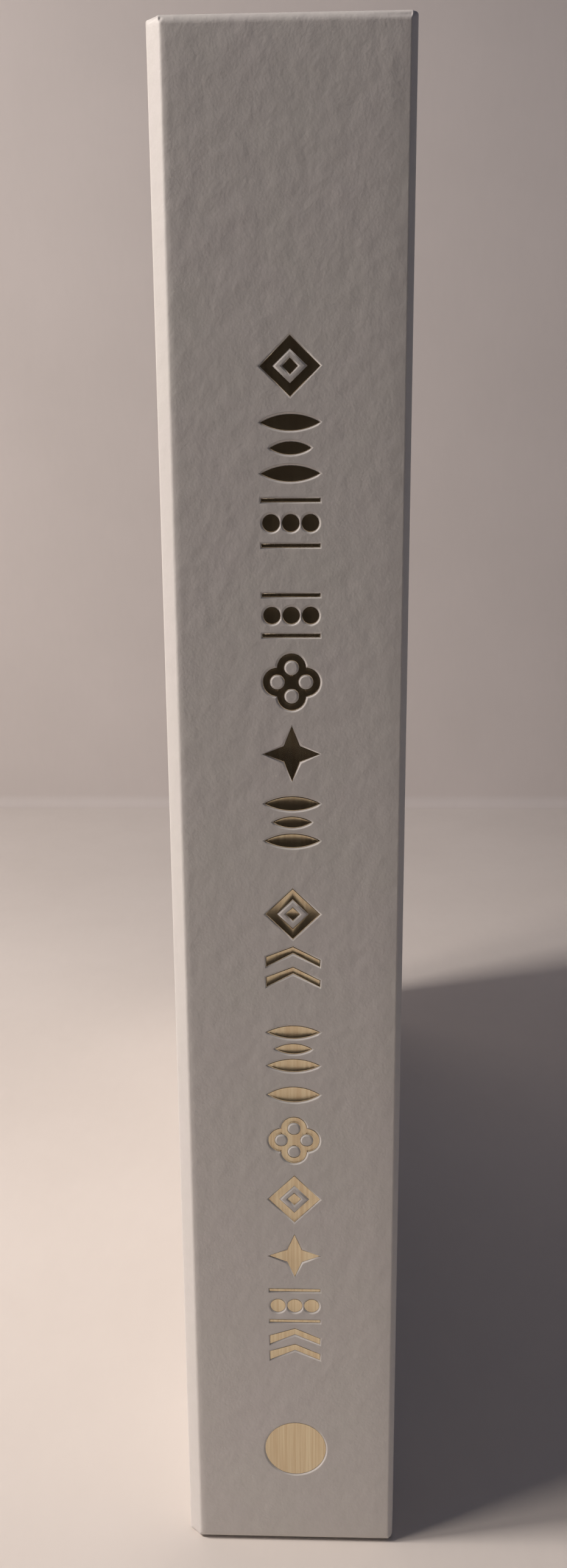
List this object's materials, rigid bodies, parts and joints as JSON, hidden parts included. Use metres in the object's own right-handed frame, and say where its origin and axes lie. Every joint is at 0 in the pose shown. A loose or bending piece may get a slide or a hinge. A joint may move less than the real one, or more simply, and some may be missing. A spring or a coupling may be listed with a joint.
{
  "type": "hardcover book",
  "caption": "Case-bound book with a flat spine, pressed joints, two covers that swing open and stamped foil marks down the spine.",
  "frame": {"origin": "middle of the closed book's footprint, on the surface it stands on", "axes": "+Z from tail to head, -Y out of the spine's face, +X out of the front cover"},
  "size_m": [0.0358, 0.223, 0.24],
  "materials": {
    "page_paper": "uncoated trimmed page edges",
    "endpaper": "uncoated",
    "cover_paper": "matte laminated",
    "greyboard": "raw",
    "lining_cloth": "open gauze with kraft paper",
    "band_cloth": "woven",
    "gold_foil": "satin hot-stamped foil"
  },
  "bodies": {
    "book": {"text_block": "page_paper", "spine_lining": "lining_cloth", "head_band": "band_cloth", "tail_band": "band_cloth", "front_flyleaf": "endpaper", "back_flyleaf": "endpaper", "spine_board": "greyboard", "spine_paper": "cover_paper", "title_foil": "gold_foil", "emblem_foil": "gold_foil"},
    "front_cover": {"front_board": "greyboard", "front_cover_paper": "cover_paper", "front_pastedown": "endpaper"},
    "back_cover": {"back_board": "greyboard", "back_cover_paper": "cover_paper", "back_pastedown": "endpaper"}
  },
  "joints": [
    {"name": "front_cover_hinge", "type": "hinge", "parent": "book", "child": "front_cover", "pos_m": [0.0181, -0.1047, 0.12], "axis": [0, 0, -1], "range_deg": [0, 180]},
    {"name": "back_cover_hinge", "type": "hinge", "parent": "book", "child": "back_cover", "pos_m": [-0.0181, -0.1047, 0.12], "axis": [0, 0, 1], "range_deg": [0, 180]}
  ]
}
